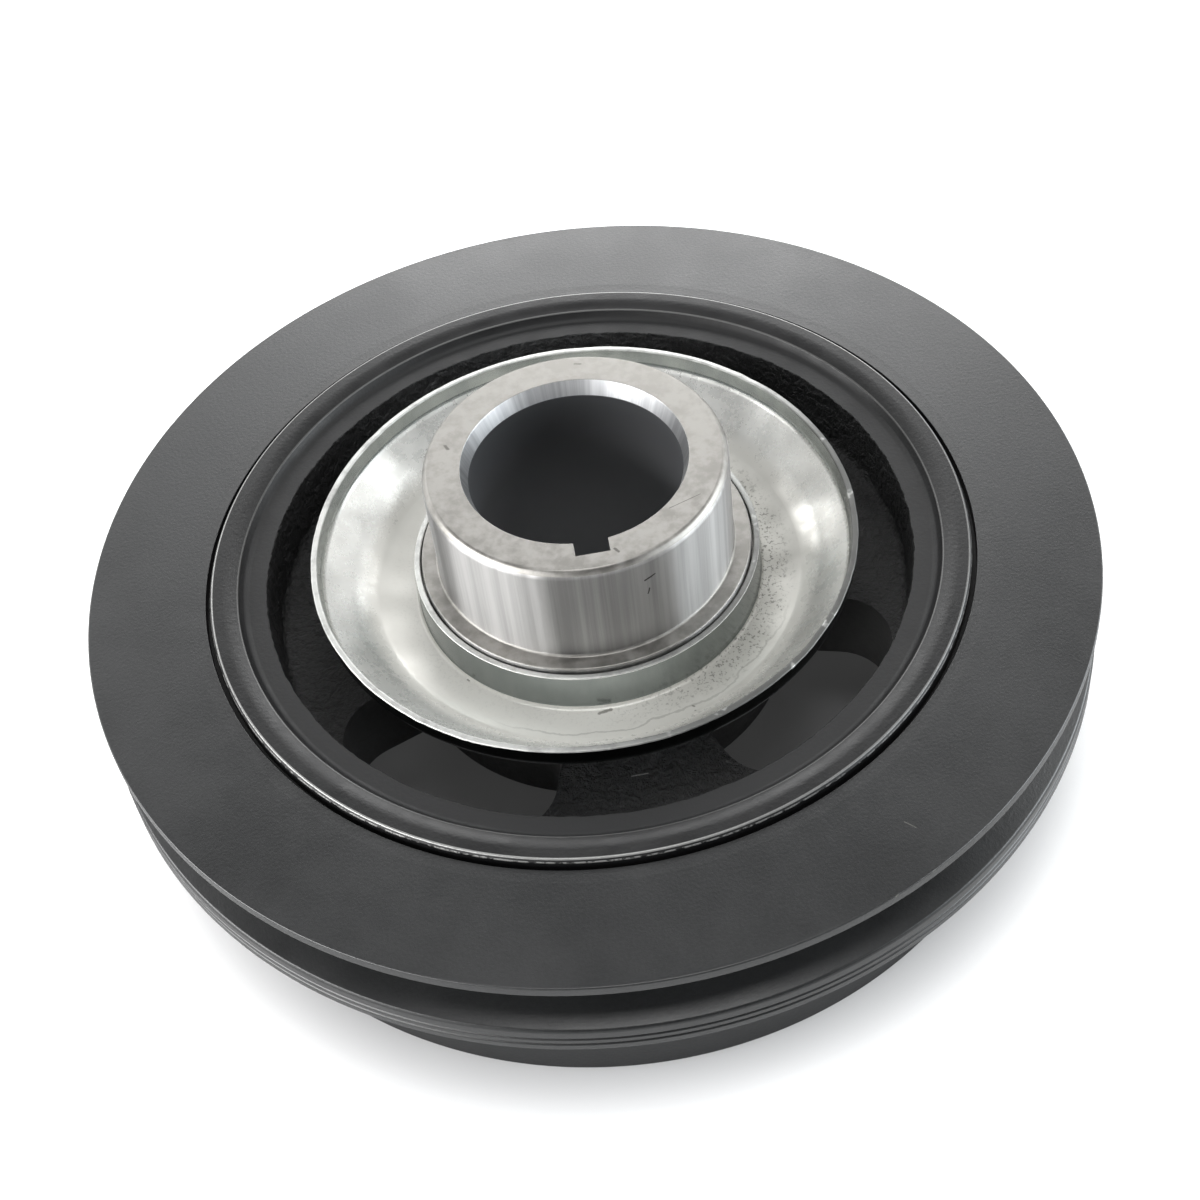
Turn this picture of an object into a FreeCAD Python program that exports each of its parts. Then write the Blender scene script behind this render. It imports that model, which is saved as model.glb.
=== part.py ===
import FreeCAD, Part
import math
import os

# Harmonic balancer of a car engine, in millimetres.
# +Z is the crank axis, pointing from the pulley's front face to the engine. z = 0 is the ring's front face.
# The keyway points to -Y.

# Inertia ring, turned, with one V-belt groove
ring_width = 19.75
ring_height = 41.5
ring_edge_bevel = 0.4
skirt_wall = 10.25
flange_land = 1.85
groove_width = 10.55
groove_depth = 11.0
groove_side_angle = 18.0
lower_land = 5.2
line_count = 2
line_pitch = 1.45
line_first_height = 1.6
line_width = 0.6
line_depth = 0.35

# Rubber between the ring and the hub's rim
rubber_thickness = 1.15
rubber_recess = 2.0

# Hub casting: rim
rim_outer_r = 64.1
rim_stand = 1.1
rim_front_recess = 1.0
lip_width = 5.1
lip_step_depth = 2.1
lip_step_run = 1.0
band_width = 3.3
wall_draft_angle = 5.0

# Hub casting: web, with spokes left between its windows
web_depth = 11.0
web_thickness = 14.5
window_count = 4
window_phase = 48.0
window_angle = 52.0
window_inner_r = 33.0
window_outer_r = 52.6
window_inner_corner = 3.5
window_outer_corner = 9.0

# Hub casting: boss, shoulder and snout
boss_r = 32.3
front_boss_r = 25.5
front_boss_height = 6.0
front_bore_bevel = 1.0
shoulder_r = 28.2
shoulder_stand = 1.1
lead_in_relief = 0.45
lead_in_length = 3.6
journal_r = 25.0
snout_stand = 20.8
snout_bevel_width = 0.8
snout_bevel_height = 1.1
bore_r = 17.5
bore_bevel_width = 1.1
bore_bevel_depth = 2.8
keyway_width = 5.5
keyway_floor_r = 21.2

# Dust deflector, pressed sheet
sheet = 1.1
collar_stand = 0.3
collar_height = 7.2
dish_floor_r = 35.0
dish_crease_r = 43.9
dish_rise = 6.6
lip_flare = 1.05
lip_height = 3.9

# Heights and radii that follow from the values above
ring_bore_r = rim_outer_r + rubber_thickness
ring_outer_r = ring_bore_r + ring_width
skirt_outer_r = ring_bore_r + skirt_wall
engine_face_z = ring_height
web_top_z = engine_face_z - web_depth
web_bottom_z = web_top_z - web_thickness
dish_floor_z = engine_face_z + collar_stand - collar_height
boss_top_z = dish_floor_z - sheet
snout_top_z = engine_face_z + snout_stand
front_boss_z = web_bottom_z - front_boss_height


def outline(corners):
    # A corner is (r, z), or (r, z, size) where it is bevelled by that much along both its sides
    points = [FreeCAD.Vector(corner[0], 0, corner[1]) for corner in corners]
    path = []
    for i, corner in enumerate(corners):
        point = points[i]
        if len(corner) == 2:
            path.append(point)
            continue
        back = (points[i - 1] - point).normalize()
        ahead = (points[(i + 1) % len(points)] - point).normalize()
        path += [point + back * corner[2], point + ahead * corner[2]]
    return Part.makePolygon(path + path[:1])


def turned(face):
    return face.revolve(FreeCAD.Vector(0, 0, 0), FreeCAD.Vector(0, 0, 1), 360)


def polar(r, degrees, z):
    angle = math.radians(degrees)
    return FreeCAD.Vector(r * math.cos(angle), r * math.sin(angle), z)


def groove_side_run():
    return groove_depth * math.tan(math.radians(groove_side_angle))


def turned_lines(land_bottom_z):
    # Two fine V-shaped lines, from the upper one down, as corners of the ring's outline
    corners = []
    for i in reversed(range(line_count)):
        middle_z = land_bottom_z + line_first_height + i * line_pitch
        corners.append((ring_outer_r, middle_z + line_width / 2))
        corners.append((ring_outer_r - line_depth, middle_z))
        corners.append((ring_outer_r, middle_z - line_width / 2))
    return corners


def pulley_ring():
    top = engine_face_z
    groove_top = top - flange_land
    groove_bottom = groove_top - groove_width
    land_bottom = groove_bottom - lower_land
    groove_floor_r = ring_outer_r - groove_depth
    corners = [
        (ring_bore_r, top),
        (ring_outer_r, top, ring_edge_bevel),
        (ring_outer_r, groove_top),
        (groove_floor_r, groove_top - groove_side_run()),
        (groove_floor_r, groove_bottom + groove_side_run()),
        (ring_outer_r, groove_bottom),
    ]
    corners += turned_lines(land_bottom)
    corners += [
        (ring_outer_r, land_bottom),
        (skirt_outer_r, land_bottom),
        (skirt_outer_r, 0),
        (ring_bore_r, 0),
    ]
    return turned(Part.Face(outline(corners)))


def rubber_ring():
    top = engine_face_z - rubber_recess
    bottom = rim_front_recess + rubber_recess
    corners = [(rim_outer_r, bottom), (ring_bore_r, bottom), (ring_bore_r, top), (rim_outer_r, top)]
    return turned(Part.Face(outline(corners)))


def hub_body():
    rim_top = engine_face_z + rim_stand
    band_z = rim_top - lip_step_depth
    lip_inner_r = rim_outer_r - lip_width
    band_outer_r = lip_inner_r - lip_step_run
    cast_edge_r = band_outer_r - band_width
    draft = math.tan(math.radians(wall_draft_angle))
    wall_foot_r = cast_edge_r - (band_z - web_top_z) * draft
    shoulder_top = engine_face_z + shoulder_stand
    lead_in_r = shoulder_r - lead_in_relief
    corners = [
        (bore_r, front_boss_z, front_bore_bevel),
        (front_boss_r, front_boss_z),
        (front_boss_r, web_bottom_z),
        (wall_foot_r, web_bottom_z),
        (wall_foot_r, rim_front_recess),
        (rim_outer_r, rim_front_recess),
        (rim_outer_r, rim_top),
        (lip_inner_r, rim_top),
        (band_outer_r, band_z),
        (cast_edge_r, band_z),
        (wall_foot_r, web_top_z),
        (boss_r, web_top_z),
        (boss_r, boss_top_z),
        (shoulder_r, boss_top_z),
        (shoulder_r, shoulder_top - lead_in_length),
        (lead_in_r, shoulder_top - lead_in_length),
        (lead_in_r, shoulder_top),
        (journal_r, shoulder_top),
        (journal_r, snout_top_z - snout_bevel_height),
        (journal_r - snout_bevel_width, snout_top_z),
        (bore_r + bore_bevel_width, snout_top_z),
        (bore_r, snout_top_z - bore_bevel_depth),
    ]
    return turned(Part.Face(outline(corners)))


def upright_edges(solid, low_r, high_r):
    found = []
    for edge in solid.Edges:
        end = edge.Vertexes[0]
        if edge.BoundBox.ZLength > web_thickness and low_r < math.hypot(end.X, end.Y) < high_r:
            found.append(edge)
    return found


def window_cutter(centre_angle):
    # The space between two spokes: a sector from the boss to the rim's wall, with rounded corners
    low, high = centre_angle - window_angle / 2, centre_angle + window_angle / 2
    floor = web_bottom_z - web_thickness

    def long_arc(r):
        return Part.Arc(polar(r, low, floor), polar(r, centre_angle, floor), polar(r, high, floor)).toShape()

    def spoke_side(angle):
        return Part.LineSegment(polar(window_inner_r, angle, floor), polar(window_outer_r, angle, floor)).toShape()

    wire = Part.Wire([long_arc(window_outer_r), spoke_side(high), long_arc(window_inner_r), spoke_side(low)])
    sector = Part.Face(wire).extrude(FreeCAD.Vector(0, 0, 3 * web_thickness))
    middle_r = (window_inner_r + window_outer_r) / 2
    sector = sector.makeFillet(window_inner_corner, upright_edges(sector, 0, middle_r))
    return sector.makeFillet(window_outer_corner, upright_edges(sector, middle_r, 2 * window_outer_r))


def keyway_cutter():
    bottom = front_boss_z - front_bore_bevel
    height = snout_top_z - bottom + bore_bevel_depth
    corner = FreeCAD.Vector(-keyway_width / 2, -keyway_floor_r, bottom)
    return Part.makeBox(keyway_width, keyway_floor_r, height, corner)


def hub():
    body = hub_body()
    for i in range(window_count):
        body = body.cut(window_cutter(window_phase + i * 360 / window_count))
    return body.cut(keyway_cutter())


def other_side(path, thickness):
    # The far side of a bent sheet whose near side is the path, with its corners kept sharp
    sides = [(ahead - point).normalize() for point, ahead in zip(path, path[1:])]
    normals = [FreeCAD.Vector(side.z, 0, -side.x) for side in sides]
    normals = [normals[0]] + normals + [normals[-1]]
    return [
        point + (before + after) * (thickness / (1 + before.dot(after)))
        for point, before, after in zip(path, normals, normals[1:])
    ]


def dust_deflector():
    # The near side runs down the collar, across the dish and up the lip
    collar_r = shoulder_r + sheet
    crease_z = dish_floor_z + dish_rise
    path = [
        FreeCAD.Vector(collar_r, 0, engine_face_z + collar_stand),
        FreeCAD.Vector(collar_r, 0, dish_floor_z),
        FreeCAD.Vector(dish_floor_r, 0, dish_floor_z),
        FreeCAD.Vector(dish_crease_r, 0, crease_z),
        FreeCAD.Vector(dish_crease_r + lip_flare, 0, crease_z + lip_height),
    ]
    section = path + other_side(path, sheet)[::-1]
    return turned(Part.Face(Part.makePolygon(section + section[:1])))


pieces = {
    "hub": hub,
    "pulley_ring": pulley_ring,
    "rubber_ring": rubber_ring,
    "dust_deflector": dust_deflector,
}

os.makedirs("parts", exist_ok=True)
for name, make in pieces.items():
    made = make()
    box = made.optimalBoundingBox()
    print(name, "solids", len(made.Solids), "valid", made.isValid(), "cm3", round(made.Volume / 1000, 2),
          "r", round(box.XMax, 2), "z", round(box.ZMin, 2), round(box.ZMax, 2))
    made.Solids[0].exportStep("parts/" + name + ".step")
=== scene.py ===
import math

import bmesh
import bpy
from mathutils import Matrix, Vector, noise


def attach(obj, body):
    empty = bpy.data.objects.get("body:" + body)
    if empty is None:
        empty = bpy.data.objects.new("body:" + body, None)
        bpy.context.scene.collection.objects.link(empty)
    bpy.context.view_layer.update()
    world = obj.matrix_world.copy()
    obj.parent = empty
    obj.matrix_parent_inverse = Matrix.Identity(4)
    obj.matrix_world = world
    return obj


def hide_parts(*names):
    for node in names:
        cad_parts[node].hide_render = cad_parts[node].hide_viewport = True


mm = 0.001

print("loading the frame")
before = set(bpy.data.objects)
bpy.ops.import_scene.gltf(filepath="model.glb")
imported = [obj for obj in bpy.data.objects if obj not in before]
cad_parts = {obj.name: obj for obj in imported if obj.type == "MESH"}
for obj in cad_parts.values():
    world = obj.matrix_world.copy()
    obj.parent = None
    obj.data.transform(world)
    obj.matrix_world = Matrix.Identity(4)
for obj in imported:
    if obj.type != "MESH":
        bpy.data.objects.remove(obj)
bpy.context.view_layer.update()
scene = bpy.context.scene
scene.view_settings.view_transform = "Standard"


def linearColour(hexColour):
    values = [int(hexColour[i : i + 2], 16) / 255 for i in (1, 3, 5)]
    return [v / 12.92 if v <= 0.04045 else ((v + 0.055) / 1.055) ** 2.4 for v in values] + [1]


def addNode(tree, kind, settings={}, **inputs):
    # an input is named by its socket, or by _ and the socket's number; it is a plain value or a node's output
    node = tree.nodes.new(kind)
    for name, value in settings.items():
        setattr(node, name, value)
    for name, value in inputs.items():
        socket = int(name[1:]) if name[0] == "_" and name[1:].isdigit() else name.replace("_", " ")
        if isinstance(value, bpy.types.NodeSocket):
            tree.links.new(value, node.inputs[socket])
        else:
            node.inputs[socket].default_value = value
    return node


def newMaterial(name):
    material = bpy.data.materials.new(name)
    material.use_nodes = True
    tree = material.node_tree
    return material, tree, tree.nodes["Principled BSDF"]


def deselectAll():
    for item in bpy.context.selected_objects:
        item.select_set(False)


def startProfile(name, r, z):
    # one vertex in the XZ plane, from a plane merged to its centre
    deselectAll()
    bpy.ops.mesh.primitive_plane_add(size=mm, location=(0, 0, 0))
    piece = bpy.context.object
    piece.name = name
    bpy.ops.object.mode_set(mode="EDIT")
    bpy.ops.mesh.select_all(action="SELECT")
    bpy.ops.mesh.merge(type="CENTER")
    bpy.ops.transform.translate(value=(r * mm, 0, z * mm))
    return piece


def selectAt(piece, r, z):
    mesh = bmesh.from_edit_mesh(piece.data)
    for vertex in mesh.verts:
        vertex.select = (vertex.co - Vector((r * mm, 0, z * mm))).length < 0.002 * mm
    mesh.select_flush_mode()
    bmesh.update_edit_mesh(piece.data)


def turnedPiece(name, corners, steps):
    # corners are (r, z), (r, z, rounding) or (r, z, rounding, segments) in millimetres, in order round the section
    piece = startProfile(name, corners[0][0], corners[0][1])
    for before, after in zip(corners, corners[1:]):
        move = ((after[0] - before[0]) * mm, 0, (after[1] - before[1]) * mm)
        bpy.ops.mesh.extrude_vertices_move(TRANSFORM_OT_translate={"value": move})
    bpy.ops.mesh.select_all(action="SELECT")
    bpy.ops.mesh.edge_face_add()
    for corner in corners:
        if len(corner) > 2:
            segments = corner[3] if len(corner) > 3 else 3
            selectAt(piece, corner[0], corner[1])
            bpy.ops.mesh.bevel(offset=corner[2] * mm, segments=segments, affect="VERTICES")
    bpy.ops.mesh.select_all(action="SELECT")
    bpy.ops.mesh.delete(type="ONLY_FACE")
    bpy.ops.mesh.select_all(action="SELECT")
    bpy.ops.mesh.spin(steps=steps, angle=2 * math.pi, center=(0, 0, 0), axis=(0, 0, 1))
    bpy.ops.mesh.select_all(action="SELECT")
    bpy.ops.mesh.remove_doubles(threshold=0.001 * mm)
    bpy.ops.mesh.normals_make_consistent(inside=False)
    bpy.ops.object.mode_set(mode="OBJECT")
    return piece


# Pulley ring
print("pulley ring")
ring = {
    "outerR": 85.0, "boreR": 64.95, "height": 41.5, "skirtR": 75.5,
    "land": 1.85, "grooveWidth": 10.55, "grooveDepth": 11.0, "grooveAngle": 18,
    "lowerLand": 5.2, "stepWidth": 2.3, "stepRun": 0.1, "stepDepth": 0.05, "skirtTop": 24, "steps": 320,
    "lineFirst": 1.6, "linePitch": 1.45, "lineHalf": 0.3, "lineDepth": 0.35, "lineRounding": 0.08,
    # three nicks near the edge and a scratch: start, end, width
    "marks": [((31.9, -78.4, 41.3), (32.4, -78.1, 41.3), 0.3), ((33.8, -77.9, 41.3), (34.2, -77.6, 41.3), 0.3),
              ((40.0, -74.9, 41.3), (40.4, -74.6, 41.3), 0.25), ((38.1, -65.8, 41.5), (39.5, -67.1, 41.5), 0.14)],
}


def ringCorners():
    outer, top = ring["outerR"], ring["height"]
    grooveTop = top - ring["land"]
    grooveBottom = grooveTop - ring["grooveWidth"]
    run = ring["grooveDepth"] * math.tan(math.radians(ring["grooveAngle"]))
    landBottom = grooveBottom - ring["lowerLand"]
    floorR = outer - ring["grooveDepth"]
    corners = [
        (ring["boreR"], top - ring["stepDepth"], 0.12),
        (ring["boreR"] + ring["stepWidth"] - ring["stepRun"], top - ring["stepDepth"]),
        (ring["boreR"] + ring["stepWidth"] + ring["stepRun"], top),
        (outer, top, 0.28),
        (outer, grooveTop, 0.12),
        (floorR, grooveTop - run, 0.8),
        (floorR, grooveBottom + run, 0.8),
        (outer, grooveBottom, 0.5),
    ]
    # two fine lines turned in the lower land
    lowLine = landBottom + ring["lineFirst"]
    for middle in (lowLine + ring["linePitch"], lowLine):
        corners += [(outer, middle + ring["lineHalf"], ring["lineRounding"]),
                    (outer - ring["lineDepth"], middle, ring["lineRounding"]),
                    (outer, middle - ring["lineHalf"], ring["lineRounding"])]
    corners += [
        (outer, landBottom, 0.3),
        (ring["skirtR"], landBottom, 0.4),
        (ring["skirtR"], 0, 0.5),
        (ring["boreR"], 0, 0.3),
    ]
    return corners


pulleyRing = turnedPiece("pulleyRing", ringCorners(), ring["steps"])

# Hub casting with the machined snout
print("hub")
hub = {
    "rimR": 64.1, "rimTop": 42.6, "rimBottom": 1.0, "chamferRun": 0.35, "chamferDrop": 0.6,
    "lipR": 59.0, "lipRoundRun": 1.7, "lipEdgeRun": 0.4, "lipEdgeDrop": 0.6, "lipWornDrop": 0.58,
    "bandR": 58.0, "bandRun": 0.3, "bandZ": 40.5,
    "castEdgeR": 54.7, "wallFootR": 53.83, "webTop": 30.5, "webBottom": 16.0,
    "bossR": 32.3, "bossTop": 33.5, "shoulderR": 28.2, "shoulderTop": 42.6, "leadInR": 27.88, "leadInZ": 39.0,
    "journalR": 25.0, "snoutTop": 62.3, "snoutBevelRun": 0.8, "snoutBevelDrop": 1.1,
    "boreR": 17.5, "boreBevelRun": 1.1, "boreBevelDrop": 2.8, "frontBossR": 25.5, "frontBossZ": 10.0,
    "windowAngle": 52, "windowInnerR": 33.0, "windowOuterR": 52.6, "innerCorner": 3.5, "outerCorner": 9.0,
    "windowPhase": 48, "windowCount": 4, "cutterBelow": 5, "cutterHeight": 26,
    "outerSteps": 20, "innerSteps": 18, "outerCornerSteps": 12, "innerCornerSteps": 8,
    "keywayWidth": 5.5, "keywayFloorR": 21.2, "keywayMiddleZ": 36, "keywayHeight": 70, "steps": 320,
    # the waves of the cast edge: scale, size; then the side, in degrees, where the rim's edge is less worn
    "edgeWaves": ((55, 0.16), (21, 0.14)), "wornWay": 330, "wornReach": (25, 60),
    # scratches, chips and stains: start, end, width
    "rimMarks": [((-53.0, -32.0, 42.6), (-52.7, -32.4, 42.6), 0.45),
                 ((-45.1, -40.1, 42.5), (-44.8, -40.6, 42.5), 0.4)],
    "rimChips": [((43.8, -42.7, 42.2), (44.3, -44.4, 42.2), 0.25), ((45.8, -36.6, 41.9), (46.0, -37.0, 41.9), 0.35)],
    "endMarks": [((3.4, -21.0, 62.3), (3.9, -21.7, 62.3), 0.45), ((-20.2, 7.9, 62.3), (-19.9, 7.1, 62.3), 0.6),
                 ((3.3, 22.2, 62.3), (4.3, 21.9, 62.3), 0.35), ((13.1, -14.5, 62.3), (18.4, -12.6, 62.3), 0.13)],
    "journalMarks": [((7.3, -23.9, 57.1), (9.0, -23.3, 57.6), 0.34), ((7.9, -23.7, 54.9), (7.6, -23.8, 53.9), 0.3)],
    "castMarks": [((0.3, -41.0, 30.5), (3.0, -41.0, 30.5), 0.2)],
}


def hubCorners():
    h = hub
    return [
        (h["boreR"], h["frontBossZ"], 1.0, 1),
        (h["frontBossR"], h["frontBossZ"], 0.6),
        (h["frontBossR"], h["webBottom"], 1.2),
        (h["wallFootR"], h["webBottom"], 1.5),
        (h["wallFootR"], h["rimBottom"], 0.6),
        (h["rimR"], h["rimBottom"], 0.4),
        (h["rimR"], h["rimTop"] - h["chamferDrop"], 0.1),
        (h["rimR"] - h["chamferRun"], h["rimTop"], 0.12),
        (h["lipR"] + h["lipRoundRun"], h["rimTop"], 1.4, 6),
        (h["lipR"] + h["lipEdgeRun"], h["rimTop"] - h["lipEdgeDrop"], 0.25),
        (h["bandR"] + h["bandRun"], h["bandZ"], 0.7, 4),
        (h["castEdgeR"], h["bandZ"], 0.12, 1),
        (h["wallFootR"], h["webTop"], 1.5, 4),
        (h["bossR"], h["webTop"], 1.2),
        (h["bossR"], h["bossTop"], 0.4),
        (h["shoulderR"], h["bossTop"]),
        (h["shoulderR"], h["leadInZ"]),
        (h["leadInR"], h["leadInZ"]),
        (h["leadInR"], h["shoulderTop"], 0.3),
        (h["journalR"], h["shoulderTop"], 0.5, 4),
        (h["journalR"], h["snoutTop"] - h["snoutBevelDrop"], 0.5, 4),
        (h["journalR"] - h["snoutBevelRun"], h["snoutTop"], 0.35, 4),
        (h["boreR"] + h["boreBevelRun"], h["snoutTop"], 0.1),
        (h["boreR"], h["snoutTop"] - h["boreBevelDrop"], 0.15),
    ]


def place(r, degrees):
    return Vector((r * math.cos(math.radians(degrees)), r * math.sin(math.radians(degrees)), 0))


def windowCutter():
    # the sector between two spokes with rounded corners, drawn round, raised and repeated for each window
    h = hub
    half = h["windowAngle"] / 2
    outerCentre = h["windowOuterR"] - h["outerCorner"]
    innerCentre = h["windowInnerR"] + h["innerCorner"]
    outerTurn = math.degrees(math.asin(h["outerCorner"] / outerCentre))
    innerTurn = math.degrees(math.asin(h["innerCorner"] / innerCentre))
    start = place(h["windowOuterR"], outerTurn - half)
    cutter = startProfile("windowCutter", start.x, 0)
    bpy.ops.transform.translate(value=(0, start.y * mm, (h["webBottom"] - h["cutterBelow"]) * mm))

    def arc(centre, degrees, steps):
        bpy.ops.mesh.spin(steps=steps, angle=-math.radians(degrees), axis=(0, 0, 1),
                          center=(centre.x * mm, centre.y * mm, 0))

    def straight(move):
        bpy.ops.mesh.extrude_vertices_move(TRANSFORM_OT_translate={"value": move * mm})

    axis = Vector((0, 0, 0))
    innerSide = math.sqrt(innerCentre**2 - h["innerCorner"] ** 2)
    outerSide = math.sqrt(outerCentre**2 - h["outerCorner"] ** 2)
    arc(axis, 2 * (half - outerTurn), h["outerSteps"])
    arc(place(outerCentre, half - outerTurn), 90 + outerTurn, h["outerCornerSteps"])
    straight(place(innerSide, half) - place(outerSide, half))
    arc(place(innerCentre, half - innerTurn), 90 - innerTurn, h["innerCornerSteps"])
    arc(axis, -2 * (half - innerTurn), h["innerSteps"])
    arc(place(innerCentre, innerTurn - half), 90 - innerTurn, h["innerCornerSteps"])
    straight(place(outerSide, -half) - place(innerSide, -half))
    arc(place(outerCentre, outerTurn - half), 90 + outerTurn, h["outerCornerSteps"])
    bpy.ops.mesh.select_all(action="SELECT")
    bpy.ops.mesh.remove_doubles(threshold=0.01 * mm)
    bpy.ops.mesh.edge_face_add()
    bpy.ops.mesh.extrude_region_move(TRANSFORM_OT_translate={"value": (0, 0, h["cutterHeight"] * mm)})
    bpy.ops.mesh.select_all(action="SELECT")
    bpy.ops.mesh.normals_make_consistent(inside=False)
    bpy.ops.transform.rotate(value=-math.radians(h["windowPhase"]), orient_axis="Z", center_override=(0, 0, 0))
    for i in range(h["windowCount"] - 1):
        bpy.ops.mesh.duplicate()
        bpy.ops.transform.rotate(value=2 * math.pi / h["windowCount"], orient_axis="Z", center_override=(0, 0, 0))
    bpy.ops.object.mode_set(mode="OBJECT")
    return cutter


def cutWith(piece, cutter):
    deselectAll()
    bpy.context.view_layer.objects.active = piece
    piece.select_set(True)
    cut = piece.modifiers.new("cut", "BOOLEAN")
    cut.object = cutter
    cut.operation = "DIFFERENCE"
    cut.solver = "EXACT"
    bpy.ops.object.modifier_apply(modifier="cut")
    bpy.data.objects.remove(cutter)


hubPiece = turnedPiece("hubCasting", hubCorners(), hub["steps"])
for vertex in hubPiece.data.vertices:
    # the rough casting leaves a wavy edge where the band was machined
    r = math.hypot(vertex.co.x, vertex.co.y)
    if abs(r - hub["castEdgeR"] * mm) < 0.2 * mm and vertex.co.z > (hub["bandZ"] - 0.3) * mm:
        spot = vertex.co.normalized()
        shift = sum(noise.noise(spot * scale) * size for scale, size in hub["edgeWaves"])
        vertex.co.x *= 1 + shift * mm / r
        vertex.co.y *= 1 + shift * mm / r
cutWith(hubPiece, windowCutter())
deselectAll()
bpy.ops.mesh.primitive_cube_add(
    size=1, location=(0, -hub["keywayFloorR"] / 2 * mm, hub["keywayMiddleZ"] * mm),
    scale=(hub["keywayWidth"] * mm, hub["keywayFloorR"] * mm, hub["keywayHeight"] * mm))
cutWith(hubPiece, bpy.context.object)

# Dust deflector, pressed from sheet
print("dust deflector")
deflector = {
    "sheet": 1.1, "collarR": 29.3, "collarTop": 41.95, "floorZ": 34.6, "floorR": 33.8,
    "kneeR": 37.7, "kneeZ": 36.05, "creaseR": 44.65, "creaseZ": 41.8, "lipR": 44.9, "lipZ": 45.1, "steps": 320,
    # roundings of the corners from the collar's top to the lip's, on the sheet's near and far side
    "nearRounds": (0.3, 0.9, 2.5, 3.0, 0.8, 0.3), "farRounds": (0.3, 1.9, 2.0, 3.0, 1.2, 0.3), "roundSteps": 6,
    # how far the dish's edge runs out of true, from that radius outwards
    "offCentre": (-0.38, 0.08, 0), "trueR": 31, "strayRun": 14,
    # the dents in the lip's edge: scale, size; they fade out towards the crease
    "dents": ((9, 0.12), (40, 0.05)), "dentStart": 1, "dentRun": 2,
    # a stain and a few dark spots on the dish: start, end, width
    "spots": [((-3.0, -30.5, 34.7), (-1.0, -30.2, 34.7), 0.6), ((12.0, -32.6, 35.2), (12.2, -32.9, 35.2), 0.40),
              ((12.2, -34.1, 35.4), (12.5, -34.4, 35.4), 0.40), ((-27.7, -18.0, 35.2), (-27.3, -18.3, 35.2), 0.40),
              ((-29.2, -21.7, 36.4), (-28.9, -21.9, 36.4), 0.45), ((-23.3, -18.9, 34.6), (-23.0, -19.2, 34.6), 0.30),
              ((-23.1, -29.3, 37.0), (-22.8, -29.6, 37.0), 0.25), ((-11.7, -31.1, 36.0), (-11.4, -31.4, 36.0), 0.25),
              ((-29.5, 14.9, 37.0), (-29.1, 14.6, 37.0), 0.35)],
}


def deflectorCorners():
    d = deflector
    near = [(d["collarR"], d["collarTop"]), (d["collarR"], d["floorZ"]), (d["floorR"], d["floorZ"]),
            (d["kneeR"], d["kneeZ"]), (d["creaseR"], d["creaseZ"]), (d["lipR"], d["lipZ"])]
    sides = [(Vector(b) - Vector(a)).normalized() for a, b in zip(near, near[1:])]
    normals = [Vector((s.y, -s.x)) for s in sides]
    normals = [normals[0]] + normals + [normals[-1]]
    far = [Vector(p) + (a + b) * (d["sheet"] / (1 + a.dot(b))) for p, a, b in zip(near, normals, normals[1:])]
    corners = [(p[0], p[1], size, d["roundSteps"]) for p, size in zip(near, d["nearRounds"])]
    corners += [(p[0], p[1], size, d["roundSteps"]) for p, size in zip(far[::-1], d["farRounds"][::-1])]
    return corners


def shareOf(value, start, run):
    # 0 up to the start, and 1 from the end of the run
    return min(max((value - start) / run, 0), 1)


deflectorPiece = turnedPiece("dustDeflector", deflectorCorners(), deflector["steps"])
for vertex in deflectorPiece.data.vertices:
    # the pressing runs a little out of true, and handling has dented the lip's edge
    r = math.hypot(vertex.co.x, vertex.co.y)
    out = shareOf(r / mm, deflector["trueR"], deflector["strayRun"])
    vertex.co += Vector(deflector["offCentre"]) * mm * out
    edge = shareOf(vertex.co.z / mm, deflector["creaseZ"] + deflector["dentStart"], deflector["dentRun"])
    spot = vertex.co.normalized()
    dent = sum(noise.noise(spot * scale) * size for scale, size in deflector["dents"])
    vertex.co.z -= abs(dent) * edge * mm
    vertex.co.x *= 1 + dent * edge * mm / r
    vertex.co.y *= 1 + dent * edge * mm / r


# Finishes
print("finishes")


def noiseOf(tree, where, scale, detail=3.0, roughness=0.6, distortion=0.0):
    return addNode(tree, "ShaderNodeTexNoise", Vector=where, Scale=scale, Detail=detail, Roughness=roughness,
                   Distortion=distortion).outputs[0]


def ramp(tree, value, low, high, before=0.0, after=1.0):
    return addNode(tree, "ShaderNodeMapRange", {"interpolation_type": "SMOOTHSTEP"}, Value=value, From_Min=low,
                   From_Max=high, To_Min=before, To_Max=after).outputs[0]


def fade(tree, value, span, before=0.0, after=1.0):
    # a ramp between two distances in millimetres
    return ramp(tree, value, span[0] * mm, span[1] * mm, before, after)


def blend(tree, factor, first, second):
    # two tones, each a hex colour or a node's output
    first, second = (linearColour(tone) if isinstance(tone, str) else tone for tone in (first, second))
    return addNode(tree, "ShaderNodeMix", {"data_type": "RGBA"}, _0=factor, _6=first, _7=second).outputs[2]


def mathOf(tree, operation, first, second):
    return addNode(tree, "ShaderNodeMath", {"operation": operation}, _0=first, _1=second).outputs[0]


def layer(tree, under, mask, strength, colour):
    # the colour laid over a tone where the mask is 1
    return blend(tree, mathOf(tree, "MULTIPLY", mask, strength), under, colour)


def dotOf(tree, where, way):
    # how far a point lies in that direction
    return addNode(tree, "ShaderNodeVectorMath", {"operation": "DOT_PRODUCT"}, _0=where, _1=way).outputs["Value"]


def distanceOf(tree, first, second):
    return addNode(tree, "ShaderNodeVectorMath", {"operation": "DISTANCE"}, _0=first, _1=second).outputs["Value"]


def bumpOf(tree, height, strength, distance, under=None):
    bump = addNode(tree, "ShaderNodeBump", Strength=strength, Distance=distance, Height=height)
    if under:
        tree.links.new(under, bump.inputs["Normal"])
    return bump.outputs[0]


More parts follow.
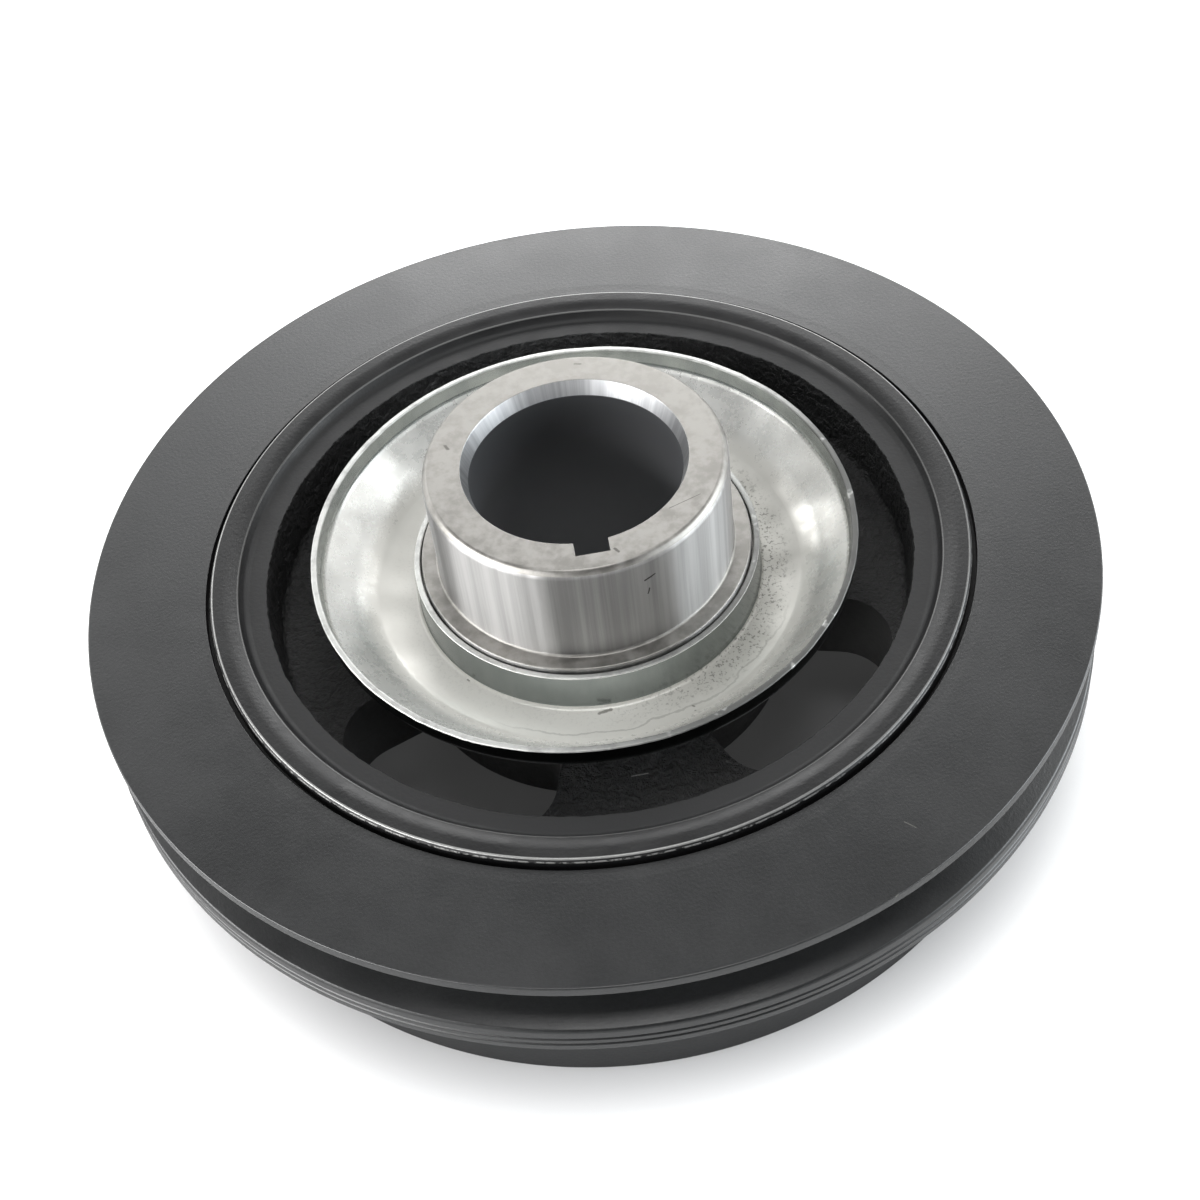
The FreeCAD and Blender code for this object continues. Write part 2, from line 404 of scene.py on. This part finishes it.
def radiusOf(tree, where):
    # distance of the shaded point from the axis
    flat = addNode(tree, "ShaderNodeVectorMath", {"operation": "MULTIPLY"}, _0=where, _1=(1, 1, 0)).outputs[0]
    return addNode(tree, "ShaderNodeVectorMath", {"operation": "LENGTH"}, _0=flat).outputs["Value"]


def heightOf(tree, where):
    return addNode(tree, "ShaderNodeSeparateXYZ", Vector=where).outputs[2]


def unrolled(tree, where, rise):
    # the surface unrolled: the turn round the axis across, and the height times the rise upwards
    split = addNode(tree, "ShaderNodeSeparateXYZ", Vector=where).outputs
    turn = mathOf(tree, "ARCTAN2", split[1], split[0])
    return addNode(tree, "ShaderNodeCombineXYZ", X=turn, Y=mathOf(tree, "MULTIPLY", split[2], rise)).outputs[0]


def wornLine(tree, radius, height, r, z, width):
    # 1 along the turned edge that lies at this radius and height in millimetres
    section = addNode(tree, "ShaderNodeCombineXYZ", X=radius, Y=height).outputs[0]
    return fade(tree, distanceOf(tree, section, (r * mm, z * mm, 0)), (width, width * 0.6))


def marksAt(tree, where, marks):
    # 1 on each mark, given by its two ends and its width in millimetres, ragged at the edge
    rough = mathOf(tree, "MULTIPLY", noiseOf(tree, where, 1600, 2.0), 0.9)
    found = 0.0
    for start, end, width in marks:
        along = (Vector(end) - Vector(start)) * mm
        toStart = addNode(tree, "ShaderNodeVectorMath", {"operation": "SUBTRACT"}, _0=where,
                          _1=Vector(start) * mm).outputs[0]
        share = dotOf(tree, toStart, along / max(along.length_squared, 1e-12))
        share = addNode(tree, "ShaderNodeClamp", Value=share).outputs[0]
        nearest = addNode(tree, "ShaderNodeVectorMath", {"operation": "SCALE"}, _0=along, Scale=share).outputs[0]
        ragged = mathOf(tree, "MULTIPLY", distanceOf(tree, toStart, nearest), 1 / (width * mm))
        ragged = mathOf(tree, "ADD", ragged, rough)
        found = mathOf(tree, "MAXIMUM", found, ramp(tree, ragged, 1.1, 0.75))
    return found


def paintedRing(name, ior, dullest):
    # turned iron with a thin matt black oxide coat: even dark grey with a fine grain, paler at low angles
    material, tree, shader = newMaterial(name)
    where = addNode(tree, "ShaderNodeTexCoord").outputs["Object"]
    grain = noiseOf(tree, where, 1900, 3.0, 0.7)
    cloud = noiseOf(tree, where, 60, 3.0)
    tone = blend(tree, ramp(tree, grain, 0.35, 0.65), "#08090a", "#141516")
    tone = layer(tree, tone, cloud, 0.35, "#1d1e1f")
    tone = layer(tree, tone, marksAt(tree, where, ring["marks"]), 0.3, "#8a8a82")
    tree.links.new(tone, shader.inputs["Base Color"])
    tree.links.new(ramp(tree, cloud, 0.3, 0.7, dullest - 0.05, dullest), shader.inputs["Roughness"])
    shader.inputs["IOR"].default_value = ior
    tree.links.new(bumpOf(tree, grain, 0.3, 0.1 * mm), shader.inputs["Normal"])
    return material


def paintedRim():
    # the same black coat on a finer machined rim: semi-gloss, with bare steel where its edges have worn
    material, tree, shader = newMaterial("blackOxideOnMachinedIron")
    where = addNode(tree, "ShaderNodeTexCoord").outputs["Object"]
    radius, height = radiusOf(tree, where), heightOf(tree, where)
    cloud = noiseOf(tree, where, 180, 5.0)
    grain = noiseOf(tree, where, 1500, 2.0)
    tone = blend(tree, cloud, "#080809", "#131314")
    outer = wornLine(tree, radius, height, hub["rimR"] - hub["chamferRun"], hub["rimTop"], 0.26)
    lower = wornLine(tree, radius, height, hub["rimR"], hub["rimTop"] - hub["chamferDrop"], 0.2)
    lower = mathOf(tree, "MULTIPLY", lower, ramp(tree, noiseOf(tree, where, 700, 3.0), 0.4, 0.55))
    inner = wornLine(tree, radius, height, hub["lipR"] + hub["lipEdgeRun"], hub["rimTop"] - hub["lipWornDrop"], 0.22)
    # the outer edge is worn less on its right-hand side, and the inner one only faintly
    share = fade(tree, dotOf(tree, where, place(1, hub["wornWay"])), hub["wornReach"], 0.6, 0.3)
    worn = mathOf(tree, "MULTIPLY", mathOf(tree, "MAXIMUM", outer, lower), share)
    worn = mathOf(tree, "MAXIMUM", worn, mathOf(tree, "MULTIPLY", inner, 0.16))
    tone = blend(tree, worn, tone, "#bcbcba")
    # the sand casting ends in a ragged line where the band was machined
    ragged = mathOf(tree, "MULTIPLY", noiseOf(tree, where, 1300, 3.0, 0.7), 0.9 * mm)
    raw = fade(tree, mathOf(tree, "ADD", radius, ragged), (hub["castEdgeR"] + 0.62, hub["castEdgeR"] + 0.55))
    tone = blend(tree, raw, tone, "#0d0d0d")
    tone = layer(tree, tone, marksAt(tree, where, hub["rimMarks"]), 0.7, "#050505")
    tone = layer(tree, tone, marksAt(tree, where, hub["rimChips"]), 1, "#a0a09e")
    tree.links.new(tone, shader.inputs["Base Color"])
    tree.links.new(worn, shader.inputs["Metallic"])
    shader.inputs["IOR"].default_value = 1.45
    # the band below the lip is duller than the lip
    dull = fade(tree, radius, (hub["lipR"] + 0.2, hub["lipR"] - 0.6), 0.36, 0.5)
    dull = mathOf(tree, "ADD", dull, ramp(tree, cloud, 0.3, 0.7, 0, 0.08))
    dull = addNode(tree, "ShaderNodeMix", {"data_type": "FLOAT"}, _0=worn, _2=dull, _3=0.26).outputs[0]
    tree.links.new(dull, shader.inputs["Roughness"])
    tree.links.new(bumpOf(tree, grain, 0.5, 0.08 * mm), shader.inputs["Normal"])
    return material


def roughCasting():
    # sand cast iron under thin black paint: wrinkled and grainy, nearly black, with small sparks of light
    material, tree, shader = newMaterial("blackPaintOnSandCastIron")
    where = addNode(tree, "ShaderNodeTexCoord").outputs["Object"]
    fine = noiseOf(tree, where, 1500, 4.0, 0.75)
    coarse = noiseOf(tree, where, 480, 3.0, 0.6, 0.6)
    tone = blend(tree, ramp(tree, fine, 0.35, 0.7), "#090909", "#202020")
    tone = layer(tree, tone, marksAt(tree, where, hub["castMarks"]), 1, "#8f8f8d")
    tree.links.new(tone, shader.inputs["Base Color"])
    shader.inputs["Roughness"].default_value = 0.42
    under = bumpOf(tree, coarse, 1.0, 1.2 * mm)
    tree.links.new(bumpOf(tree, fine, 1.0, 0.5 * mm, under), shader.inputs["Normal"])
    return material


def castWallsPaintedPaler():
    # the castings' upright walls, painted paler than the tops to lift the shade that falls on them (painted light)
    material, tree, shader = newMaterial("blackPaintOnCastWallsWithPaintedLight")
    where = addNode(tree, "ShaderNodeTexCoord").outputs["Object"]
    fine = noiseOf(tree, where, 900, 3.0, 0.7)
    tone = blend(tree, fine, "#4a4a4a", "#5b5b5a")
    tree.links.new(tone, shader.inputs["Base Color"])
    shader.inputs["Roughness"].default_value = 0.6
    tree.links.new(bumpOf(tree, fine, 0.5, 0.3 * mm), shader.inputs["Normal"])
    return material


def groundJournal():
    # ground steel of the journal: bright, with fine lines round the axis that draw its reflections out lengthways
    material, tree, shader = newMaterial("groundSteelJournal")
    where = addNode(tree, "ShaderNodeTexCoord").outputs["Object"]
    # the grinding leaves very shallow flats, about 1 mm wide, all along the journal; their paler and darker bands of
    # tone are painted reflection streaks
    flatsAndPaintedStreaks = noiseOf(tree, unrolled(tree, where, 0.6), 7, 5.0, 0.65)
    tone = blend(tree, ramp(tree, flatsAndPaintedStreaks, 0.38, 0.62), "#979695", "#b3b2b1")
    tone = layer(tree, tone, marksAt(tree, where, hub["journalMarks"]), 1, "#4a4846")
    tree.links.new(tone, shader.inputs["Base Color"])
    shader.inputs["Metallic"].default_value = 1.0
    shader.inputs["Roughness"].default_value = 0.34
    shader.inputs["Anisotropic"].default_value = 1.0
    shader.inputs["Anisotropic Rotation"].default_value = 0.25
    lines = addNode(tree, "ShaderNodeTangent", {"direction_type": "RADIAL", "axis": "Z"}).outputs[0]
    tree.links.new(lines, shader.inputs["Tangent"])
    tree.links.new(bumpOf(tree, flatsAndPaintedStreaks, 0.12, 0.1 * mm), shader.inputs["Normal"])
    return material


def facedSteel():
    # faced end of the snout and its bevels: warm grey, evenly dull, faintly mottled
    material, tree, shader = newMaterial("facedSteelEnd")
    where = addNode(tree, "ShaderNodeTexCoord").outputs["Object"]
    cloud = noiseOf(tree, where, 330, 5.0, 0.65)
    tone = blend(tree, ramp(tree, cloud, 0.35, 0.65), "#84827e", "#999793")
    tone = layer(tree, tone, marksAt(tree, where, hub["endMarks"]), 0.75, "#4f4d4a")
    tree.links.new(tone, shader.inputs["Base Color"])
    shader.inputs["Metallic"].default_value = 1.0
    tree.links.new(ramp(tree, cloud, 0.3, 0.7, 0.36, 0.5), shader.inputs["Roughness"])
    tree.links.new(bumpOf(tree, noiseOf(tree, where, 1600), 0.2, 0.03 * mm), shader.inputs["Normal"])
    return material


def turnedBevel():
    # the bevel at the bore's mouth: cut with a sharp tool, so brighter than the end face, in fine turned lines
    material, tree, shader = newMaterial("turnedSteelBevel")
    where = addNode(tree, "ShaderNodeTexCoord").outputs["Object"]
    streaks = noiseOf(tree, unrolled(tree, where, 0), 9, 4.0, 0.7)
    tone = blend(tree, ramp(tree, streaks, 0.35, 0.65), "#b2b3b5", "#d4d5d6")
    tree.links.new(tone, shader.inputs["Base Color"])
    shader.inputs["Metallic"].default_value = 1.0
    shader.inputs["Roughness"].default_value = 0.38
    return material


def darkBorePaintedPalerDeep():
    # the bore is dull and dark, and painted paler deeper down to lift the shade in the hole (painted light)
    material, tree, shader = newMaterial("darkBoreSteelWithPaintedLight")
    where = addNode(tree, "ShaderNodeTexCoord").outputs["Object"]
    tone = blend(tree, fade(tree, heightOf(tree, where), (60, 24)), "#303133", "#97989a")
    tree.links.new(tone, shader.inputs["Base Color"])
    shader.inputs["Roughness"].default_value = 0.7
    return material


# where the dish and its walls are hazed and soiled: radii and reaches in millimetres, directions in degrees
haze = {
    "bloomR": (40, 37), "dullR": (35, 37.5), "soilAndShadeWay": 335, "soilAndShadeReach": (6, 36), "leftShadeReach": (-16, -30),
    "tideR": 36.9, "tideHalf": 0.2, "tideWay": 285, "tideReach": (20, 30),
    "specksR": (36, 31), "specksWay": 350, "specksReach": (0, 28),
    "collarR": (33, 31), "lipBackShadeR": (45.35, 45.6), "lipDarkWay": 330, "lipReflectionReach": (31, 41), "edgeReach": (4, 38),
}


def zincDish():
    # bright zinc plate on pressed steel, hazed by handling: its floor is pale and dull with white bloom, its slope
    # is glossier and darker at the sides, from soiling and painted shade, and dried dirt and black specks lie on it
    material, tree, shader = newMaterial("hazedZincPlate")
    where = addNode(tree, "ShaderNodeTexCoord").outputs["Object"]
    radius = radiusOf(tree, where)
    cloud = noiseOf(tree, where, 70, 4.0)
    mottle = noiseOf(tree, where, 420, 6.0, 0.7)
    bloom = fade(tree, radius, haze["bloomR"])
    tone = blend(tree, cloud, "#c8c9c6", "#d9d9d6")
    tone = layer(tree, tone, bloom, 0.75, "#e2e0d9")
    # the right-hand side is darker, partly soiled and partly painted shade, and the left is a little darker as
    # painted shade
    side = dotOf(tree, where, place(1, haze["soilAndShadeWay"]))
    leftPaintedShade = fade(tree, side, haze["leftShadeReach"], 0, 0.5)
    soiledAndShadedSides = mathOf(tree, "MAXIMUM", fade(tree, side, haze["soilAndShadeReach"]), leftPaintedShade)
    soilAndPaintedShade = mathOf(tree, "MULTIPLY", soiledAndShadedSides, ramp(tree, cloud, 0.35, 0.65, 0.7, 1))
    tone = layer(tree, tone, soilAndPaintedShade, 0.7, "#979690")
    # dirt has dried in a wavy, broken line part of the way up, on the near side
    wavy = mathOf(tree, "ADD", radius, mathOf(tree, "MULTIPLY", noiseOf(tree, where, 130, 4.0), 4 * mm))
    tide = addNode(tree, "ShaderNodeMath", {"operation": "COMPARE"}, _0=wavy, _1=haze["tideR"] * mm,
                   _2=haze["tideHalf"] * mm).outputs[0]
    near = fade(tree, dotOf(tree, where, place(1, haze["tideWay"])), haze["tideReach"])
    tone = layer(tree, tone, mathOf(tree, "MULTIPLY", tide, near), 0.35, "#6b6a63")
    # black specks lie round the collar, thickest on its right
    specks = ramp(tree, noiseOf(tree, where, 1500, 2.0, 0.8), 0.54, 0.62)
    lying = mathOf(tree, "MULTIPLY", mathOf(tree, "SUBTRACT", mottle, 0.5), 9 * mm)
    lying = fade(tree, mathOf(tree, "ADD", radius, lying), haze["specksR"])
    right = fade(tree, dotOf(tree, where, place(1, haze["specksWay"])), haze["specksReach"], 0.12, 1)
    crowd = mathOf(tree, "MULTIPLY", lying, right)
    tone = layer(tree, tone, crowd, 0.3, "#8f8d86")
    tone = layer(tree, tone, mathOf(tree, "MULTIPLY", specks, crowd), 0.7, "#4c4b46")
    tone = layer(tree, tone, marksAt(tree, where, deflector["spots"]), 0.7, "#55544c")
    tree.links.new(tone, shader.inputs["Base Color"])
    tree.links.new(ramp(tree, bloom, 0, 1, 0.6, 0.25), shader.inputs["Metallic"])
    dull = fade(tree, radius, haze["dullR"], 0.12, 0)
    dull = mathOf(tree, "ADD", dull, ramp(tree, mottle, 0.3, 0.7, 0.24, 0.32))
    tree.links.new(dull, shader.inputs["Roughness"])
    tree.links.new(bumpOf(tree, noiseOf(tree, where, 75, 1.0), 0.6, 1.2 * mm), shader.inputs["Normal"])
    return material


def zincWall():
    # the same plate on the upright walls of lip and collar: clean enough to mirror the dark casting,
    # with faint upright drawing marks
    material, tree, shader = newMaterial("drawnZincPlate")
    where = addNode(tree, "ShaderNodeTexCoord").outputs["Object"]
    radius = radiusOf(tree, where)
    marks = noiseOf(tree, unrolled(tree, where, 9.0), 11, 4.0, 0.65)
    tone = blend(tree, ramp(tree, marks, 0.3, 0.7), "#b0b4b3", "#c6c9c7")
    # the collar's wall is greyer; outside, the lip is painted dark as painted shade and painted reflection of the
    # dark casting below
    tone = layer(tree, tone, fade(tree, radius, haze["collarR"]), 0.75, "#7d8482")
    tone = layer(tree, tone, fade(tree, radius, haze["lipBackShadeR"]), 1, "#333535")
    # the lip's right-hand side is painted darker, as a painted reflection of the shaded snout and dish
    side = fade(tree, dotOf(tree, where, place(1, haze["lipDarkWay"])), haze["lipReflectionReach"])
    tone = layer(tree, tone, side, 0.8, "#5d5f5e")
    tree.links.new(tone, shader.inputs["Base Color"])
    shader.inputs["Metallic"].default_value = 1.0
    shader.inputs["Roughness"].default_value = 0.24
    return material


def shearedEdge():
    # cut edge of the sheet: bare, dull and slightly ragged
    material, tree, shader = newMaterial("shearedSteelEdge")
    where = addNode(tree, "ShaderNodeTexCoord").outputs["Object"]
    chips = ramp(tree, noiseOf(tree, where, 300, 4.0, 0.7), 0.3, 0.6)
    tone = blend(tree, chips, "#a2a2a0", "#c4c5c2")
    # darker on the right-hand side of the lip, save for a few nicks that keep the bright tone
    side = fade(tree, dotOf(tree, where, place(1, haze["lipDarkWay"])), haze["edgeReach"])
    nicks = ramp(tree, noiseOf(tree, where, 200, 3.0, 0.7), 0.68, 0.6, 0.35, 1)
    tone = layer(tree, tone, mathOf(tree, "MULTIPLY", side, nicks), 0.9, "#4a4a49")
    tree.links.new(tone, shader.inputs["Base Color"])
    shader.inputs["Metallic"].default_value = 0.8
    shader.inputs["Roughness"].default_value = 0.45
    return material


def mouldedRubber():
    # moulded rubber: matt, the darkest thing on the part
    material, tree, shader = newMaterial("mouldedBlackRubber")
    shader.inputs["Base Color"].default_value = linearColour("#101010")
    shader.inputs["Roughness"].default_value = 0.7
    return material


finishes = {
    "rim": paintedRim(), "cast": roughCasting(), "wall": castWallsPaintedPaler(), "journal": groundJournal(),
    "end": facedSteel(), "bevel": turnedBevel(), "bore": darkBorePaintedPalerDeep(),
}


def hubZone(centre, normal):
    # which finish a face of the hub has, by its place in millimetres
    h = hub
    r, z = math.hypot(centre.x, centre.y) / mm, centre.z / mm
    bevelFoot = h["snoutTop"] - h["boreBevelDrop"]
    inKeyway = r < h["keywayFloorR"] + 0.5 and abs(normal.z) < 0.3 and z < bevelFoot - 0.1
    if r < h["boreR"] + 0.1 or inKeyway:
        return "bore"
    if r < h["boreR"] + h["boreBevelRun"] + 0.1 and z > bevelFoot - 0.2 and normal.z < 0.8:
        return "bevel"
    if r < h["bossR"] - 0.5 and (z > h["leadInZ"] - 0.2 or r < h["boreR"] + 4):
        return "journal" if abs(normal.z) < 0.5 and h["boreR"] + 3 < r else "end"
    if z > h["bandZ"] - 0.02 and r > h["castEdgeR"] - 0.4 or r > h["rimR"] - 0.5:
        return "rim"
    # upright walls round the windows and the boss take the paler copy of the black paint, which is painted light
    if abs(normal.z) < 0.3 and r < h["windowOuterR"] + 0.2:
        return "wall"
    return "cast"


for material in finishes.values():
    hubPiece.data.materials.append(material)
order = list(finishes)
for face in hubPiece.data.polygons:
    face.material_index = order.index(hubZone(face.center, face.normal))

pulleyRing.data.materials.append(paintedRing("blackOxideOnTurnedIron", 1.66, 0.36))
# the upright sides are duller than the face and the groove
pulleyRing.data.materials.append(paintedRing("blackOxideOnRingSides", 1.42, 0.46))
for face in pulleyRing.data.polygons:
    r, z = math.hypot(face.center.x, face.center.y) / mm, face.center.z / mm
    side = r > ring["outerR"] - 0.6 or (r > ring["skirtR"] - 0.6 and z < ring["skirtTop"])
    face.material_index = 1 if side and abs(face.normal.z) < 0.7 else 0
for material in (zincDish(), zincWall(), shearedEdge()):
    deflectorPiece.data.materials.append(material)
for face in deflectorPiece.data.polygons:
    r, z = math.hypot(face.center.x, face.center.y) / mm, face.center.z / mm
    upright = abs(face.normal.z) < 0.5 and (r < deflector["collarR"] + 0.6 or r > deflector["creaseR"] - 0.5)
    face.material_index = 1 if upright or face.normal.z < -0.3 else 0
    if z > deflector["lipZ"] - 0.35 or (r < deflector["collarR"] + 0.3 and z > deflector["collarTop"] - 0.1):
        face.material_index = 2
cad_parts["rubber_ring"].data.materials.clear()
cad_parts["rubber_ring"].data.materials.append(mouldedRubber())

for piece, node, slotName in (
    (pulleyRing, "pulley_ring", "ring_iron"),
    (hubPiece, "hub", "hub_iron"),
    (deflectorPiece, "dust_deflector", "zinc_sheet"),
):
    deselectAll()
    piece.select_set(True)
    bpy.context.view_layer.objects.active = piece
    bpy.ops.object.shade_smooth_by_angle(angle=math.radians(32))
    # wide faces keep their own normals, so that only the roundings catch the light
    weighted = piece.modifiers.new("weighted", "WEIGHTED_NORMAL")
    weighted.keep_sharp = True
    bpy.ops.object.modifier_apply(modifier="weighted")
    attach(piece, "root")
    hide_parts(node)
    print(piece.name, len(piece.data.polygons), "faces")

# Floor, light and camera
print("floor, light and camera")
# the paper under the hub and outside it: radii in metres, tone and lift
paper = {
    "size": 6, "drop": 0.0001, "underR": 0.065, "outR": 0.09, "underShadeTone": "#8c8c8e", "outTone": "#f4f4f4",
    "underGlow": 0.03, "outLift": 0.35,
}
deselectAll()
bpy.ops.mesh.primitive_plane_add(size=paper["size"], location=(0, 0, -paper["drop"]))
floor = bpy.context.object
floor.name = "floor"
floorPaint, floorTree, floorShader = newMaterial("whitePaperSweep")
floorShader.inputs["Roughness"].default_value = 0.9
# the paper is lifted to white round the object; under the hub it is painted grey as painted shade, with a faint glow
# that evens it out through the hub's windows (painted light)
floorSpot = addNode(floorTree, "ShaderNodeTexCoord").outputs["Object"]
spread = addNode(floorTree, "ShaderNodeVectorMath", {"operation": "LENGTH"}, _0=floorSpot).outputs["Value"]
outside = addNode(floorTree, "ShaderNodeMapRange", Value=spread, From_Min=paper["underR"],
                  From_Max=paper["outR"]).outputs[0]
shade = blend(floorTree, outside, paper["underShadeTone"], paper["outTone"])
floorTree.links.new(shade, floorShader.inputs["Base Color"])
rays = addNode(floorTree, "ShaderNodeLightPath").outputs
seen = mathOf(floorTree, "ADD", rays["Is Camera Ray"], rays["Is Glossy Ray"])
seen = mathOf(floorTree, "ADD", seen, rays["Is Transmission Ray"])
lift = addNode(floorTree, "ShaderNodeMapRange", Value=outside, To_Min=paper["underGlow"],
               To_Max=paper["outLift"]).outputs[0]
floorShader.inputs["Emission Color"].default_value = (1, 1, 1, 1)
floorTree.links.new(mathOf(floorTree, "MULTIPLY", lift, seen), floorShader.inputs["Emission Strength"])
floor.data.materials.append(floorPaint)

# the levels of the room's light, and between which directions each begins and ends
room = {
    "zenith": 0.13, "wall": 2.7, "wallFootFrom": 0.1, "wallFootTo": 0.55, "wallFoot": 0.2,
    "wallTopFrom": 0.5, "wallTopTo": 0.8, "far": (0.3, 1, 0), "farLow": -0.35, "farHigh": 0.8, "sides": 0.34,
    "dark": (-0.02, -1, 0.25), "darkLow": 0.48, "darkHigh": 0.88, "darkLeft": 0.1,
    "whiteTo": 0.2,
}
world = bpy.data.worlds.new("softRoom")
scene.world = world
world.use_nodes = True
worldTree = world.node_tree
direction = addNode(worldTree, "ShaderNodeTexCoord").outputs["Generated"]


def lobe(side, low, high, before, after):
    # a level that changes as the direction turns towards that side
    return ramp(worldTree, dotOf(worldTree, direction, Vector(side).normalized()), low, high, before, after)


# a pale band of wall and windows half-way up, brightest behind the object; a dim ceiling; the camera's side is dark;
# white paper all round behind the floor's edge
up = (0, 0, 1)
wall = lobe(up, room["wallTopFrom"], room["wallTopTo"], room["wall"], 0)
wall = mathOf(worldTree, "MULTIPLY", wall, lobe(up, room["wallFootFrom"], room["wallFootTo"], room["wallFoot"], 1))
wall = mathOf(worldTree, "MULTIPLY", wall, lobe(room["far"], room["farLow"], room["farHigh"], room["sides"], 1))
level = mathOf(worldTree, "ADD", wall, room["zenith"])
dim = lobe(room["dark"], room["darkLow"], room["darkHigh"], 1, room["darkLeft"])
level = mathOf(worldTree, "MULTIPLY", level, dim)
level = mathOf(worldTree, "MAXIMUM", level, lobe(up, room["whiteTo"], room["whiteTo"] + 0.1, 1, 0))
worldTree.links.new(level, worldTree.nodes["Background"].inputs["Strength"])
worldTree.nodes["Background"].inputs["Color"].default_value = (0.99, 0.997, 1, 1)


def softLamp(name, azimuth, elevation, distance, width, height, power, colour):
    # a rectangular lamp that faces the object from that direction
    a, e = math.radians(azimuth), math.radians(elevation)
    spot = Vector((math.cos(a) * math.cos(e), math.sin(a) * math.cos(e), math.sin(e))) * distance
    bpy.ops.object.light_add(type="AREA", location=spot, rotation=spot.to_track_quat("Z", "Y").to_euler())
    lamp = bpy.context.object
    lamp.name = name
    lamp.data.shape = "RECTANGLE"
    lamp.data.size, lamp.data.size_y = width, height
    lamp.data.energy = power
    lamp.data.color = colour


# azimuth and elevation in degrees, then distance, width, height, power and colour
lamps = {
    "farWindow": (83, 34, 1.2, 0.5, 0.3, 2.7, (1, 1, 1)),
    "leftWindow": (195, 18, 1.0, 1.0, 0.5, 14, (1, 1, 1)),
    "leftPane": (231, 18, 1.0, 0.06, 0.5, 1.4, (1, 1, 1)),
    "rightWindow": (350, 15, 1.1, 1.05, 0.5, 11, (0.9, 0.96, 1)),
    "highLeft": (131, 28, 1.2, 0.13, 0.32, 1.3, (1, 1, 1)),
    "highRight": (6, 42, 1.2, 0.2, 0.24, 0.75, (0.96, 0.99, 1)),
    "rightPane": (46, 27, 1.2, 0.08, 0.3, 0.35, (0.96, 0.99, 1)),
    "overhead": (268, 85, 1.2, 0.6, 0.6, 5.3, (1, 1, 1)),
}
for name, values in lamps.items():
    softLamp(name, *values)

view = {
    "location": (-0.00992, -0.22959, 0.2895), "degrees": (40.917, 5.498, -8.308),
    "lens": 60, "sensor": 36, "shift": (0.0142, 0.0017), "clipStart": 0.01,
}
bpy.ops.object.camera_add(location=view["location"], rotation=[math.radians(a) for a in view["degrees"]])
camera = bpy.context.object
camera.data.lens = view["lens"]
camera.data.sensor_width = view["sensor"]
camera.data.shift_x, camera.data.shift_y = view["shift"]
camera.data.clip_start = view["clipStart"]
scene.camera = camera
